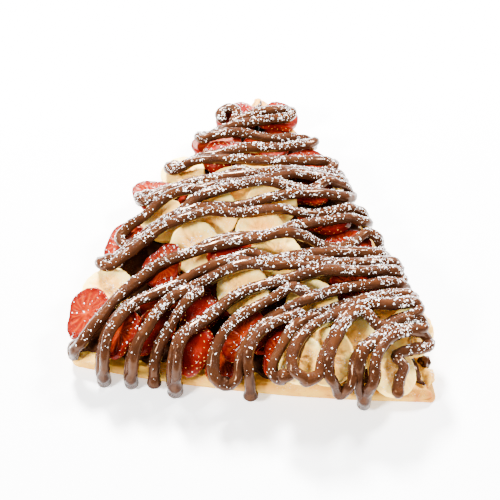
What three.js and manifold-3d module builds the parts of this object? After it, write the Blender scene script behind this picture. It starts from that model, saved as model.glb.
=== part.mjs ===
// A folded dessert crêpe: a thin pancake folded into a rounded triangle, covered with a thin
// layer of hazelnut spread, sliced strawberries and bananas, and a thick zigzag drizzle.
// Millimetres, +Z up. The crêpe rests on Z = 0, the front fold runs along X, the far corner
// points to +Y, and the origin is under the middle of the whole.
import * as THREE from "three";
import { mergeVertices } from "three/addons/utils/BufferGeometryUtils.js";
import Module from "manifold-3d";

// ---------------------------------------------------------------- driving dimensions

const crepe = {
  corners: { far: [-12, 106.5], left: [-95, -89], right: [98, -91] },
  bulge: { left: 14.5, front: 5, right: 15 }, // how far each side bows out between corners
  cornerCut: { far: 7, left: 8, right: 6 }, // where the rounding of a corner starts
  middle: [-3, -26], // the point the top surface rises towards
  edgeHeight: 8,
  dome: 3.5, // extra height of the middle
  layers: 5,
  foldRadius: 2.6, // how far the rounded front fold draws in at its top and bottom
  layerGroove: 2, // depth of the notch between two open layers
  layerRuffle: 1.1, // how unevenly the open layers end
  shelfDepth: 3.2, // the upper flap stops this far short of the lower fold on the right
};

const spread = {
  thickness: 1.5,
  edgeInset: 6.5, // from the crêpe's edge to the edge of the base coat
  edgeWave: 1.8,
  ropeRadius: 2.4,
  blobRadius: 3.1, // of the rounded turns
  ropeSides: 5,
  ropeClimb: 0.45, // share of a full rope's height that a crossing climbs
  sideTurn: -2, // how far the turns reach past the crêpe's outline
  frontTurn: 3.4,
  sideRun: -8, // where the crossings between the turns begin
  frontRun: -4,
  cornerRun: 6, // the front turns start this far past the corner
  bridge: 9, // the rope spans hollows up to twice this wide
  ropeSlack: 2.2, // how far a straight facet may stray from the rope's line
  longestFacet: 25,
  shortestFacet: 5,
  simplify: 0.12, // how far the joined surface may be evened out
};

const fruit = {
  bananaDiameter: [24.5, 28],
  bananaThickness: [5, 6],
  berryLength: [26, 31],
  berryWidth: [18, 22],
  sliceThickness: [4, 5],
  halfThickness: [6.5, 8.5],
  steepestLean: 32, // degrees
  slide: 4, // how far a piece slips aside if that lets it lie lower
  sides: 10, // facets round one piece
};

const gap = 0.35; // clearance between separate pieces
const cell = 0.8; // grid of the height fields that things are laid on

// Where the drizzle turns back: the distance along the crêpe's outline from the far corner, down
// each side, and half the distance between the two legs of the turn. On the left the list
// carries on round the corner and along the front.
const turnsLeft = [
  [51, 3], [79, 3.2], [108, 3.5], [134, 4.5], [154, 3.4], [210, 4.5], [228, 1.2], [242, 1.2],
  [265, 1.4], [291, 7], [319, 5.5], [331, 7.5], [348, 6.5], [361, 4], [379, 3],
];
const turnsRight = [
  [36, 4], [58, 4], [82, 4], [92, 3], [103, 3.6], [122, 5], [141, 6], [153, 3], [162, 3],
  [170, 3], [178, 3], [186, 3], [194, 3], [202, 3.4], [210, 3.4],
];
const startCurl = [[-30, 70], [-33, 75], [-29, 79], [-24, 78], [-23, 74]];

// Short strands that run down over the front: the distance along the outline where one ends,
// the distance down the right side that it comes from the direction of, and its length.
const drips = [[254, 162, 42], [304, 184, 36]];

// Where the strands stand apart and the fruit shows: x, y, half the length, half the width, and
// the direction in degrees from +X.
const openings = [
  [-27, 49, 20, 3.5, 25], [-43, 26, 20, 4, 28], [-2, 31, 24, 4, 22], [20, 20, 20, 4, 15],
  [-50, -2, 20, 5, 32], [-10, 7, 22, 3, 28], [-31, -19, 20, 5, 38], [2, -13, 24, 5.5, 25],
  [4, -32, 24, 4.5, 28], [-70, -19, 18, 4.5, 38], [38, -9, 26, 6.5, 14], [-48, -49, 22, 5, 42],
  [-9, -50, 24, 4, 33], [29, -49, 24, 4, 30], [-24, -66, 20, 4.5, 50], [9, -84, 24, 5, 62],
  [-58, -80, 24, 4, 60], [58, -69, 20, 6, 40], [74, -86, 14, 4, 52], [-84, -69, 20, 6, 62],
];

// What lies on the crêpe, in the order it was laid: kind, x, y, and the direction that a
// strawberry's tip points in, in degrees from +X. B banana slice, S strawberry slice,
// H strawberry half with its cut face up, K strawberry half with its skin up.
const toppings = [
  ["S", -11, -81, 255], ["S", 10, -62, 240],
  ["K", -20, 81, 200], ["S", -4, 82, 215], ["S", -30, 60, 195], ["S", -5, 64, 190],
  ["K", -26, 49, 20], ["B", -45, 33], ["B", -4, 39], ["S", 16, 47, 200], ["H", -59, 14, 150],
  ["B", -19, 25], ["S", -36, 13, 10], ["H", 19, 26, 200], ["B", -54, 0], ["B", 3, 14],
  ["B", -28, 5], ["H", -69, -18, 235], ["B", -1, -6], ["B", -35, -18], ["H", 42, -8, 190],
  ["S", 28, 5, 170], ["K", -15, -23, 30], ["S", -51, -31, 60], ["B", 5, -26], ["B", 25, -34],
  ["S", -19, -44, 70], ["H", -46, -49, 215], ["S", 47, -36, 200], ["B", -6, -45], ["B", 30, -50],
  ["B", -75, -48], ["S", 63, -32, 20], ["K", -27, -61, 250], ["B", 64, -50], ["S", -2, -71, 245],
  ["K", -45, -74, 240], ["S", -81, -67, 250], ["S", -61, -78, 245],
  ["B", 55, -68], ["B", 41, -78], ["H", 13, -81, 250], ["K", -28, -81, 260], ["B", 27, -83],
  ["B", 77, -62], ["B", 73, -81],
];

// ---------------------------------------------------------------- small helpers

const wasm = await Module();
wasm.setup();

// A repeatable stream of numbers in [0, 1).
function randomStream(seed) {
  let state = seed >>> 0;
  return () => {
    state = (Math.imul(state, 1664525) + 1013904223) >>> 0;
    return state / 4294967296;
  };
}

const between = ([low, high], share) => low + (high - low) * share;
const smooth = (t) => t * t * (3 - 2 * t);
const clamp = THREE.MathUtils.clamp;
const radians = THREE.MathUtils.degToRad;

function solidOf(geometry) {
  const bare = geometry.index ? geometry.toNonIndexed() : geometry.clone();
  bare.deleteAttribute("normal");
  bare.deleteAttribute("uv");
  const merged = mergeVertices(bare, 1e-4);
  return new wasm.Manifold(
    new wasm.Mesh({
      numProp: 3,
      vertProperties: merged.attributes.position.array,
      triVerts: new Uint32Array(merged.index.array),
    }),
  );
}

function geometryOf(solid) {
  const mesh = solid.getMesh();
  const geometry = new THREE.BufferGeometry();
  geometry.setAttribute("position", new THREE.BufferAttribute(mesh.vertProperties, 3));
  geometry.setIndex(new THREE.BufferAttribute(mesh.triVerts, 1));
  const flat = geometry.toNonIndexed();
  flat.computeVertexNormals();
  return flat;
}

// A closed solid from rings of points, lowest first, each ring counter-clockwise seen from
// above and all of one length, closed by a fan to a point below and a point above.
function solidFromRings(rings, below, above) {
  const count = rings[0].length;
  const points = [below, ...rings.flat(), above];
  const index = [];
  const at = (ring, i) => 1 + ring * count + (i % count);
  const last = points.length - 1;
  for (let i = 0; i < count; i++) {
    index.push(0, at(0, i + 1), at(0, i));
    for (let ring = 0; ring + 1 < rings.length; ring++) {
      index.push(at(ring, i), at(ring, i + 1), at(ring + 1, i + 1));
      index.push(at(ring, i), at(ring + 1, i + 1), at(ring + 1, i));
    }
    index.push(last, at(rings.length - 1, i), at(rings.length - 1, i + 1));
  }
  const geometry = new THREE.BufferGeometry();
  geometry.setAttribute("position", new THREE.Float32BufferAttribute(points.flatMap((p) => p.toArray()), 3));
  geometry.setIndex(index);
  return geometry;
}

// ---------------------------------------------------------------- what lies beneath

// The height of whatever has been laid so far, on a square grid seen from above.
class Ground {
  static half = 116;
  static count = Math.ceil((2 * Ground.half) / cell) + 1;
  static place = (i) => i * cell - Ground.half;
  static index = (v) => (v + Ground.half) / cell;

  constructor() {
    this.data = new Float32Array(Ground.count ** 2);
  }

  at(i, j) {
    const n = Ground.count;
    return i < 0 || j < 0 || i >= n || j >= n ? 0 : this.data[j * n + i];
  }

  height(x, y) {
    const [u, v] = [Ground.index(x), Ground.index(y)];
    const [i, j] = [Math.floor(u), Math.floor(v)];
    const [a, b] = [u - i, v - j];
    const near = this.at(i, j) * (1 - a) + this.at(i + 1, j) * a;
    const far = this.at(i, j + 1) * (1 - a) + this.at(i + 1, j + 1) * a;
    return near * (1 - b) + far * b;
  }

  // Calls visit(cell, height) for every cell that a surface covers, once for each triangle.
  static trace(geometry, visit) {
    const p = geometry.attributes.position;
    const index = geometry.index;
    const corner = [new THREE.Vector3(), new THREE.Vector3(), new THREE.Vector3()];
    const [a, b, c] = corner;
    const ends = (key) => {
      const values = corner.map((v) => v[key]);
      const first = Math.ceil(Ground.index(Math.min(...values)));
      const last = Math.floor(Ground.index(Math.max(...values)));
      return [Math.max(0, first), Math.min(Ground.count - 1, last)];
    };
    for (let t = 0; t < (index ?? p).count; t += 3) {
      corner.forEach((v, k) => v.fromBufferAttribute(p, index ? index.getX(t + k) : t + k));
      const area = (b.x - a.x) * (c.y - a.y) - (b.y - a.y) * (c.x - a.x);
      if (Math.abs(area) < 1e-9) continue;
      const [left, right] = ends("x");
      const [near, far] = ends("y");
      for (let j = near; j <= far; j++)
        for (let i = left; i <= right; i++) {
          const [x, y] = [Ground.place(i) - a.x, Ground.place(j) - a.y];
          const wb = (x * (c.y - a.y) - y * (c.x - a.x)) / area;
          const wc = ((b.x - a.x) * y - (b.y - a.y) * x) / area;
          if (Math.min(wb, wc, 1 - wb - wc) < -1e-6) continue;
          visit(j * Ground.count + i, a.z + (b.z - a.z) * wb + (c.z - a.z) * wc);
        }
    }
  }

  // Adds a surface, one cell wider all round than it is, so that its steep sides count too.
  add(geometry) {
    const around = [0, 1, -1, Ground.count, -Ground.count];
    Ground.trace(geometry, (k, z) => {
      for (const step of around) this.data[k + step] = Math.max(this.data[k + step], z);
    });
  }

  // How far a surface has to rise to be clear of the ground; below 0, how far it can drop.
  rise(geometry) {
    let most = -Infinity;
    Ground.trace(geometry, (k, z) => {
      most = Math.max(most, this.data[k] - z);
    });
    return most;
  }

  // The ground as the centre of a ball feels it that rolls over it.
  rolledOver(radius) {
    const out = new Ground();
    const reach = Math.floor(radius / cell);
    const ball = [];
    for (let dj = -reach; dj <= reach; dj++)
      for (let di = -reach; di <= reach; di++) {
        const rest = radius ** 2 - (di * cell) ** 2 - (dj * cell) ** 2;
        if (rest >= 0) ball.push([di, dj, Math.sqrt(rest)]);
      }
    for (let j = 0; j < Ground.count; j++)
      for (let i = 0; i < Ground.count; i++)
        for (const [di, dj, up] of ball) {
          const k = j * Ground.count + i;
          out.data[k] = Math.max(out.data[k], this.at(i + di, j + dj) + up);
        }
    return out;
  }
}

// ---------------------------------------------------------------- the crêpe

// The outline seen from above, counter-clockwise from the far corner: three bowed sides
// joined by rounded corners.
function crepeOutline() {
  const names = ["far", "left", "right"];
  const sides = ["left", "front", "right"];
  const corner = names.map((name) => new THREE.Vector2(...crepe.corners[name]));
  const control = sides.map((side, i) => {
    const [from, to] = [corner[i], corner[(i + 1) % 3]];
    const out = new THREE.Vector2(to.y - from.y, from.x - to.x).normalize();
    return from.clone().add(to).multiplyScalar(0.5).addScaledVector(out, 2 * crepe.bulge[side]);
  });
  const towards = (i, target) =>
    corner[i].clone().add(target.clone().sub(corner[i]).setLength(crepe.cornerCut[names[i]]));
  const path = new THREE.Path();
  sides.forEach((side, i) => {
    const start = towards(i, control[i]);
    const end = towards((i + 1) % 3, control[i]);
    const next = towards((i + 1) % 3, control[(i + 1) % 3]);
    if (i === 0) path.moveTo(start.x, start.y);
    path.quadraticCurveTo(control[i].x, control[i].y, end.x, end.y);
    path.quadraticCurveTo(corner[(i + 1) % 3].x, corner[(i + 1) % 3].y, next.x, next.y);
  });
  return path;
}

const outline = crepeOutline();
const outlineLength = outline.getLength();
const middle = new THREE.Vector2(...crepe.middle);

// A point of the outline, moved outwards, at a distance along it from the far corner.
function outlinePoint(distance, outwards = 0) {
  const share = THREE.MathUtils.euclideanModulo(distance / outlineLength, 1);
  const before = outline.getPoint(Math.max(share - 1e-4, 0));
  const tangent = outline.getPoint(Math.min(share + 1e-4, 1)).sub(before);
  const normal = new THREE.Vector2(tangent.y, -tangent.x).normalize();
  return outline.getPoint(share).addScaledVector(normal, outwards);
}

// 1 along the named side and 0 on the others, fading near its corners.
function sideWeight(share, side) {
  const lengths = outline.getCurveLengths();
  const first = { left: 0, front: 2, right: 4 }[side];
  const [from, to] = [lengths[first - 1] ?? 0, lengths[first]];
  const distance = share * outlineLength;
  const fade = 12;
  return smooth(clamp(Math.min(distance - from, to - distance) / fade + 1, 0, 1));
}

// How far the crêpe's side is drawn in at this share of the outline and of the height.
// The front is one big fold, the right a fold with a shorter flap on it, and the left the
// open ends of all the layers.
function edgeInset(share, level) {
  const fold = crepe.foldRadius * (1 - Math.sqrt(Math.max(0, 1 - (2 * level - 1) ** 2 * 0.92)));
  const layer = Math.min(crepe.layers - 1, Math.floor(level * crepe.layers));
  const inGroove = Math.abs(level * crepe.layers - Math.round(level * crepe.layers)) < 0.02;
  const ruffle = crepe.layerRuffle * Math.sin(share * 90 + layer * 2.4) * Math.sin(share * 37 + layer * 1.3);
  const open = inGroove ? crepe.layerGroove : ruffle + 0.3 * layer;
  const tiers = level > 0.55 ? crepe.shelfDepth + 0.6 * Math.sin(share * 130) : 0.4 * fold;
  const left = sideWeight(share, "left");
  const right = sideWeight(share, "right");
  return fold * (1 - left) * (1 - right) + open * left + tiers * right;
}

// The height of the top of the crêpe, rising from its edge (0) to its middle (1).
const topHeight = (inwards) => crepe.edgeHeight + crepe.dome * (1 - (1 - inwards) ** 2);

function ringAt(count, inwards, height, outwards = () => 0) {
  return Array.from({ length: count }, (_, i) => {
    const share = i / count;
    const p = outlinePoint(share * outlineLength, outwards(share)).lerp(middle, inwards);
    return new THREE.Vector3(p.x, p.y, height);
  });
}

function crepeGeometry(grow = 0) {
  const count = 52;
  const levels = 2 * crepe.layers;
  const rings = [];
  for (let level = 0; level <= levels; level++) {
    const share = level / levels;
    const height = THREE.MathUtils.lerp(-grow, crepe.edgeHeight + grow, share);
    rings.push(ringAt(count, 0, height, (s) => grow - (grow ? 0 : edgeInset(s, share))));
  }
  for (const inwards of [0.08, 0.2, 0.4, 0.65])
    rings.push(ringAt(count, inwards, topHeight(inwards) + grow));
  const at = (height) => new THREE.Vector3(middle.x, middle.y, height);
  return solidFromRings(rings, at(-grow), at(topHeight(1) + grow));
}

// ---------------------------------------------------------------- the base coat of spread

function baseCoatGeometry() {
  const count = 44;
  const wave = (share) => -spread.edgeInset + spread.edgeWave * Math.sin(share * 71) * Math.cos(share * 31);
  const steps = [0, 0.2, 0.45, 0.7];
  const lift = (inwards) => topHeight(Math.min(1, inwards + 0.1)) + gap;
  const under = steps.map((inwards) => ringAt(count, inwards, lift(inwards), wave)).reverse();
  const over = steps.map((inwards) => ringAt(count, inwards, lift(inwards) + spread.thickness, wave));
  const at = (height) => new THREE.Vector3(middle.x, middle.y, height);
  return solidFromRings([...under, ...over], at(lift(1)), at(lift(1) + spread.thickness));
}

// ---------------------------------------------------------------- the fruit

// A banana slice lying flat: a slightly five-sided disc with a softened edge.
function bananaGeometry(random) {
  const radius = between(fruit.bananaDiameter, random()) / 2;
  const thickness = between(fruit.bananaThickness, random());
  const [phase, oval, soft] = [random() * 6, 1 + random() * 0.14, 1.1];
  const ring = (inset, height) =>
    Array.from({ length: fruit.sides }, (_, i) => {
      const angle = (i / fruit.sides) * 2 * Math.PI;
      const r = radius * (1 + 0.025 * Math.cos(5 * angle + phase)) - inset;
      return new THREE.Vector3(r * oval * Math.cos(angle), r * Math.sin(angle), height);
    });
  const rings = [ring(soft, 0), ring(0, soft), ring(0, thickness - soft), ring(soft, thickness)];
  return solidFromRings(rings, new THREE.Vector3(0, 0, 0), new THREE.Vector3(0, 0, thickness + 0.3));
}

// A strawberry cut lengthways, lying on its back with its tip towards +X. A slice is cut on
// both faces, and a half is rounded below its cut face.
function berryGeometry(random, half) {
  const length = between(fruit.berryLength, random());
  const width = between(fruit.berryWidth, random());
  const thickness = between(half ? fruit.halfThickness : fruit.sliceThickness, random());
  const taper = 0.24 + random() * 0.1;
  const ring = (scale, height) =>
    Array.from({ length: fruit.sides }, (_, i) => {
      const angle = (i / fruit.sides) * 2 * Math.PI;
      const along = (length / 2) * (Math.cos(angle) + 0.06 * Math.cos(2 * angle));
      const across = (width / 2) * Math.sin(angle) * (1 - taper * Math.cos(angle));
      return new THREE.Vector3(scale * along, scale * across, height);
    });
  const profile = half
    ? [[0.5, 0.05], [0.82, 0.28], [0.98, 0.68], [0.96, 1]]
    : [[0.9, 0], [1, 0.3], [1, 0.75], [0.94, 1]];
  const rings = profile.map(([scale, height]) => ring(scale, height * thickness));
  return solidFromRings(rings, new THREE.Vector3(0, 0, 0), new THREE.Vector3(0, 0, thickness));
}

// Lays one piece on the ground with its usual gap: of all the ways it could lean or slip
// aside a little, it takes the one that lets its middle come lowest.
function layPiece(geometry, x, y, ground) {
  geometry.center();
  const up = new THREE.Vector3(0, 0, 1);
  let best = { rise: Infinity };
  for (let lean = 0; lean <= fruit.steepestLean; lean += 6)
    for (let towards = 0; towards < (lean ? 360 : 30); towards += 30) {
      const normal = new THREE.Vector3(
        Math.sin(radians(lean)) * Math.cos(radians(towards)),
        Math.sin(radians(lean)) * Math.sin(radians(towards)),
        Math.cos(radians(lean)),
      );
      const leant = geometry.clone().applyQuaternion(new THREE.Quaternion().setFromUnitVectors(up, normal));
      for (const [dx, dy] of [[0, 0], [1, 0], [0, 1], [-1, 0], [0, -1]]) {
        const moved = leant.clone().translate(x + dx * fruit.slide, y + dy * fruit.slide, 0);
        const rise = ground.rise(moved);
        if (rise < best.rise) best = { moved, rise };
      }
    }
  best.moved.translate(0, 0, best.rise + gap);
  ground.add(best.moved);
  return best.moved;
}

function layToppings(ground) {
  const random = randomStream(7);
  return toppings.map(([kind, x, y, tip = 0]) => {
    const geometry = kind === "B" ? bananaGeometry(random) : berryGeometry(random, kind !== "S");
    if (kind === "K") geometry.rotateX(Math.PI);
    geometry.rotateZ(kind === "B" ? random() * 6 : radians(tip));
    return { kind, geometry: layPiece(geometry, x, y, ground) };
  });
}

// ---------------------------------------------------------------- the drizzle

const frontStart = outline.getCurveLengths()[1];

// Moves a point of the drizzle aside, away from the middle line of every opening it is near.
function parted(point) {
  const p = point.clone();
  for (const [x, y, halfLength, halfWidth, direction] of openings) {
    const along = new THREE.Vector2(Math.cos(radians(direction)), Math.sin(radians(direction)));
    const across = new THREE.Vector2(-along.y, along.x);
    const offset = p.clone().sub(new THREE.Vector2(x, y));
    const [u, v] = [offset.dot(along) / halfLength, offset.dot(across) / (2 * halfWidth)];
    if (Math.abs(u) >= 1 || Math.abs(v) >= 1) continue;
    const push = 0.5 * (1 - u * u) ** 2 * (1 - Math.abs(v));
    p.addScaledVector(across, 2 * halfWidth * (v < 0 ? -push : push));
  }
  return p;
}

// One crossing of the drizzle, from the left or the front to the right: it sets off nearly
// square to the front fold, or at a slant from the left side, and bends over to the right.
function crossing(fromDistance, toDistance) {
  const past = fromDistance - frontStart;
  const start = outlinePoint(fromDistance, past < 0 ? spread.sideRun : spread.frontRun);
  const end = outlinePoint(outlineLength - toDistance, spread.sideRun);
  const slant = 24 + 46 * (fromDistance / frontStart) ** 2;
  const setOff = radians(past < 0 ? slant : 72 + 0.1 * past);
  const arrive = radians(14 + 10 * Math.sin((Math.PI * toDistance) / 225));
  const reach = start.distanceTo(end);
  const heading = (angle) => new THREE.Vector2(Math.cos(angle), Math.sin(angle));
  const one = start.clone().addScaledVector(heading(setOff), 0.36 * reach);
  const two = end.clone().addScaledVector(heading(arrive), -0.38 * reach);
  return new THREE.CubicBezierCurve(start, one, two, end).getSpacedPoints(14).map(parted);
}

// The three points of a rounded turn: its outermost one, with one a little further in on either
// side of it. A negative half width is for a turn that is passed against the outline.
const turnBack = (distance, half, reach) =>
  [-0.8, 0, 0.8].map((side) =>
    outlinePoint(distance + side * half, reach - 0.5 * Math.abs(side * half)),
  );

const smoothCurve = (points) =>
  new THREE.CatmullRomCurve3(points.map((p) => new THREE.Vector3(p.x, p.y, 0)));

// The runs of the drizzle seen from above, each as a function from 0..1 to a point. The long
// strand turns back between its runs, and the drips come after it.
function drizzlePlan() {
  const random = randomStream(19);
  const wobble = () => (random() - 0.5) * 2.4;
  const points = startCurl.map((p) => new THREE.Vector2(...p));
  const turns = [];
  turnsRight.forEach(([right, halfRight], k) => {
    const [before, halfBefore] = k ? turnsLeft[k - 1] : [turnsLeft[0][0] - 8, 0];
    const [left, halfLeft] = turnsLeft[k];
    points.push(...crossing(before + halfBefore, right - halfRight).slice(k ? 0 : 4));
    turns.push(points.length + 1);
    points.push(...turnBack(outlineLength - right, -halfRight, spread.sideTurn + wobble()));
    points.push(...crossing(left - halfLeft, right + halfRight).reverse());
    turns.push(points.length + 1);
    const reach = left > frontStart + spread.cornerRun ? spread.frontTurn : spread.sideTurn;
    points.push(...turnBack(left, halfLeft, reach + wobble() * 0.4));
  });
  const strand = smoothCurve(points);
  const stops = [0, ...turns].map((k) => k / (points.length - 1));
  const part = (from, to) => (t) => strand.getPoint(THREE.MathUtils.lerp(from, to, t));
  const runs = stops.slice(1).map((stop, k) => part(stops[k], stop));
  const drip = ([distance, towards, length]) => {
    const line = crossing(distance, towards);
    const count = Math.max(2, Math.round(length / line[0].distanceTo(line[1])));
    const last = outlinePoint(distance, spread.frontTurn);
    const curve = smoothCurve([...line.slice(0, count + 1).reverse(), last]);
    return (t) => curve.getPoint(t);
  };
  return [...runs, ...drips.map(drip)];
}

// Lays the drizzle over the ground, and over itself: where it meets rope that was laid before,
// it climbs part of the way up it. It spans hollows, and comes down where it turns back.
// Each run becomes a list of points.
function layDrizzle(ground) {
  const r = spread.ropeRadius;
  const rolled = ground.rolledOver(r + gap);
  const laid = [];
  const fine = 1.5;
  return drizzlePlan().map((at) => {
    const rough = Array.from({ length: 41 }, (_, i) => at(i / 40));
    const length = rough.reduce((sum, p, i) => sum + (i ? p.distanceTo(rough[i - 1]) : 0), 0);
    const count = Math.ceil(length / fine);
    const points = Array.from({ length: count + 1 }, (_, i) => at(i / count));
    const bed = points.map((p) => rolled.height(p.x, p.y));
    const climbed = points.map((p, i) => {
      let z = bed[i];
      for (const q of laid) {
        const near = Math.hypot(p.x - q.x, p.y - q.y);
        if (near >= 2 * r) continue;
        const top = q.z + spread.ropeClimb * Math.sqrt(4 * r * r - near * near);
        z = Math.max(z, Math.min(top, bed[i] + 2 * r));
      }
      return z;
    });
    const around = (list, i) => {
      const reach = Math.min(i, list.length - 1 - i, Math.round(spread.bridge / fine));
      return list.slice(i - reach, i + reach + 1);
    };
    const spanned = climbed.map((_, i) => Math.max(...around(climbed, i)));
    points.forEach((p, i) => {
      const heights = around(spanned, i);
      p.z = Math.max(heights.reduce((a, b) => a + b, 0) / heights.length, bed[i]);
    });
    laid.push(...points.slice(4, -4));
    return points;
  });
}

// Drops the points of a run that its chords can do without.
function thinOut(points, tolerance, longest) {
  const [first, last] = [points[0], points[points.length - 1]];
  const chord = new THREE.Line3(first, last);
  const foot = new THREE.Vector3();
  let [worst, where] = [0, 0];
  points.forEach((p, i) => {
    const off = chord.closestPointToPoint(p, true, foot).distanceTo(p);
    if (off > worst) [worst, where] = [off, i];
  });
  if (first.distanceTo(last) < spread.shortestFacet) return [first, last];
  if (worst <= tolerance && chord.distance() <= longest) return [first, last];
  if (worst <= tolerance) where = points.length >> 1;
  const before = thinOut(points.slice(0, where + 1), tolerance, longest);
  const after = thinOut(points.slice(where), tolerance, longest);
  return [...before, ...after.slice(1)];
}

// The rings of points round a rope whose middle runs through the nodes.
function ropeRings(nodes) {
  const { ropeSides: sides, ropeRadius: radius } = spread;
  return nodes.map((node, i) => {
    const next = nodes[Math.min(i + 1, nodes.length - 1)];
    const tangent = next.clone().sub(nodes[Math.max(i - 1, 0)]).normalize();
    const across = new THREE.Vector3(tangent.y, -tangent.x, 0).normalize();
    const up = new THREE.Vector3().crossVectors(across, tangent);
    return Array.from({ length: sides }, (_, k) => {
      const angle = Math.PI / 2 + (k / sides) * 2 * Math.PI;
      const p = node.clone().addScaledVector(across, radius * Math.cos(angle));
      return p.addScaledVector(up, radius * Math.sin(angle));
    });
  });
}

// A stretch of rope from ring to ring, with flat ends.
function ropeGeometry(rings) {
  const sides = rings[0].length;
  const index = [];
  for (let i = 0; i + 1 < rings.length; i++)
    for (let k = 0; k < sides; k++) {
      const [a, b] = [i * sides + k, i * sides + ((k + 1) % sides)];
      index.push(a, b + sides, b, a, a + sides, b + sides);
    }
  const end = (rings.length - 1) * sides;
  for (let k = 1; k + 1 < sides; k++) index.push(0, k, k + 1, end, end + k + 1, end + k);
  const geometry = new THREE.BufferGeometry();
  const numbers = rings.flat().flatMap((p) => p.toArray());
  geometry.setAttribute("position", new THREE.Float32BufferAttribute(numbers, 3));
  geometry.setIndex(index);
  return geometry;
}

// The round blob where the rope turns back.
function turnBlob(node) {
  const blob = new THREE.IcosahedronGeometry(spread.blobRadius, 0);
  return blob.rotateX(0.3).rotateZ(node.x).translate(node.x, node.y, node.z);
}

// Raises the nodes until every stretch of rope between them is clear of the ground.
function clearOf(ground, runs) {
  for (let pass = 0; pass < 8; pass++) {
    const rises = new Map();
    const note = (node, rise) => rises.set(node, Math.max(rise, rises.get(node) ?? 0));
    for (const nodes of runs) {
      const rings = ropeRings(nodes);
      nodes.slice(1).forEach((node, i) => {
        const rise = ground.rise(ropeGeometry(rings.slice(i, i + 2))) + gap;
        note(nodes[i], rise);
        note(node, rise);
      });
      for (const node of [nodes[0], nodes.at(-1)]) note(node, ground.rise(turnBlob(node)) + gap);
    }
    for (const [node, rise] of rises) node.z += rise;
    if (Math.max(...rises.values()) <= 0) break;
  }
}

// The drizzle, run by run, joined with the base coat wherever it comes down to it.
function drizzleSolid(pieces) {
  const ground = new Ground();
  pieces.forEach((piece) => ground.add(piece));
  const runs = [];
  for (const points of layDrizzle(ground)) {
    const nodes = thinOut(points, spread.ropeSlack, spread.longestFacet);
    const before = runs.at(-1)?.at(-1);
    if (before?.distanceTo(nodes[0]) < spread.ropeRadius) nodes[0] = before;
    runs.push(nodes);
  }
  clearOf(ground, runs);
  const ends = new Set(runs.flatMap((nodes) => [nodes[0], nodes.at(-1)]));
  const ropes = runs.map((nodes) => ropeGeometry(ropeRings(nodes)));
  const solids = [baseCoatGeometry(), ...ropes, ...[...ends].map(turnBlob)];
  const joined = wasm.Manifold.union(solids.map(solidOf)).simplify(spread.simplify);
  const bodies = joined.decompose().sort((a, b) => b.volume() - a.volume());
  return bodies[0];
}

// ---------------------------------------------------------------- the whole

const paint = (color, roughness) => new THREE.MeshStandardMaterial({ color, roughness, metalness: 0 });
const materials = {
  crepe: paint(0xe2c48c, 0.8),
  spread: paint(0x5f3420, 0.35),
  strawberry: paint(0xd2331c, 0.4),
  banana: paint(0xf0dfb4, 0.6),
};

function named(name, geometry, material) {
  const mesh = new THREE.Mesh(geometry, material);
  mesh.name = name;
  return mesh;
}

const crepeShape = crepeGeometry();
const ground = new Ground();
ground.add(crepeShape);
ground.add(baseCoatGeometry());
const laidToppings = layToppings(ground);

const whole = new THREE.Group();
whole.add(named("crepe", crepeShape, materials.crepe));
const numbers = { strawberry: 0, banana: 0 };
for (const { kind, geometry } of laidToppings) {
  const name = kind === "B" ? "banana" : "strawberry";
  numbers[name] += 1;
  whole.add(named(`${name}_${String(numbers[name]).padStart(2, "0")}`, geometry, materials[name]));
}
const solids = [crepeShape, ...laidToppings.map(({ geometry }) => geometry)];
whole.add(named("spread", geometryOf(drizzleSolid(solids)), materials.spread));

export default whole;
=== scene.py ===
import math

import bpy
import numpy as np
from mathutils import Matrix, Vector


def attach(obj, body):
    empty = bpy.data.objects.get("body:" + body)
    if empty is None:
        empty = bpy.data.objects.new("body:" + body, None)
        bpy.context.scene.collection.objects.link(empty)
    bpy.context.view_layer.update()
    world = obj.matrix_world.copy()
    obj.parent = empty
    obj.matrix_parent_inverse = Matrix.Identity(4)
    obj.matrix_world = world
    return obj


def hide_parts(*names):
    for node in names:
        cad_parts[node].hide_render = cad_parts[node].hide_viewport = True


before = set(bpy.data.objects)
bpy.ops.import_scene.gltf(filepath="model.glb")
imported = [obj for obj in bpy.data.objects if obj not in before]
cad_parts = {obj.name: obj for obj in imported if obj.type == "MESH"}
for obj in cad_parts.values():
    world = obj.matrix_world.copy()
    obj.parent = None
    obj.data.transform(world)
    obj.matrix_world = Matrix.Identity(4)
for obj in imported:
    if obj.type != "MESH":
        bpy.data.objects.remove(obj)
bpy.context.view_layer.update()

MM = 0.001
TAU = 2 * math.pi
RIPPLE_WAVES = 14

# ---------------------------------------------------------------- driving dimensions

# The folded crêpe seen from above: where its sides would meet, how far each side bows out, how
# far from each corner its rounding starts, and the point that its top rises to.
CORNERS = {"far": (-12, 106.5), "left": (-95, -89), "right": (98, -91)}
BULGE = {"left": 14.5, "front": 5, "right": 15}
CORNER_CUT = {"far": 7, "left": 8, "right": 4}
MIDDLE = np.array([-3.0, -26.0])

# Its height at the edge, and the rise from there to the middle.
EDGE_HEIGHT = 8.0
DOME = 3.5

# How soft its edge and top are: how far the edge sags, and two sizes of wrinkle.
EDGE_SAG = 0.45
WRINKLE = 0.3
FINE_WRINKLE = 0.1

# What its sides show. In front, the round fold.
FOLD_RADIUS = 2.6

# On the left, the open layers, the grooves between them, and how unevenly they end.
LAYERS = 5
LAYER_GROOVE = 2.0
LAYER_RUFFLE = 0.55

# On the right, a fold and a flap over it that is set back: the shares of the height that the
# two take up, how far the flap is set back, how round both are, and the waves along the flap.
FOLD_SHARE = 0.55
FLAP_SHARE = 0.45
SHELF_DEPTH = 3.2
TIER_ROUND = 1.2
FLAP_WAVE = 0.7

# Soft folds near the corners: two ends, width and height.
CREASES = [
    ((79, -92), (89, -81), 1.2, 0.9),
    ((82.5, -92), (90, -83.5), 0.9, 0.7),
    ((-88, -82), (-70, -88), 1.6, 0.5),
]

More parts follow.
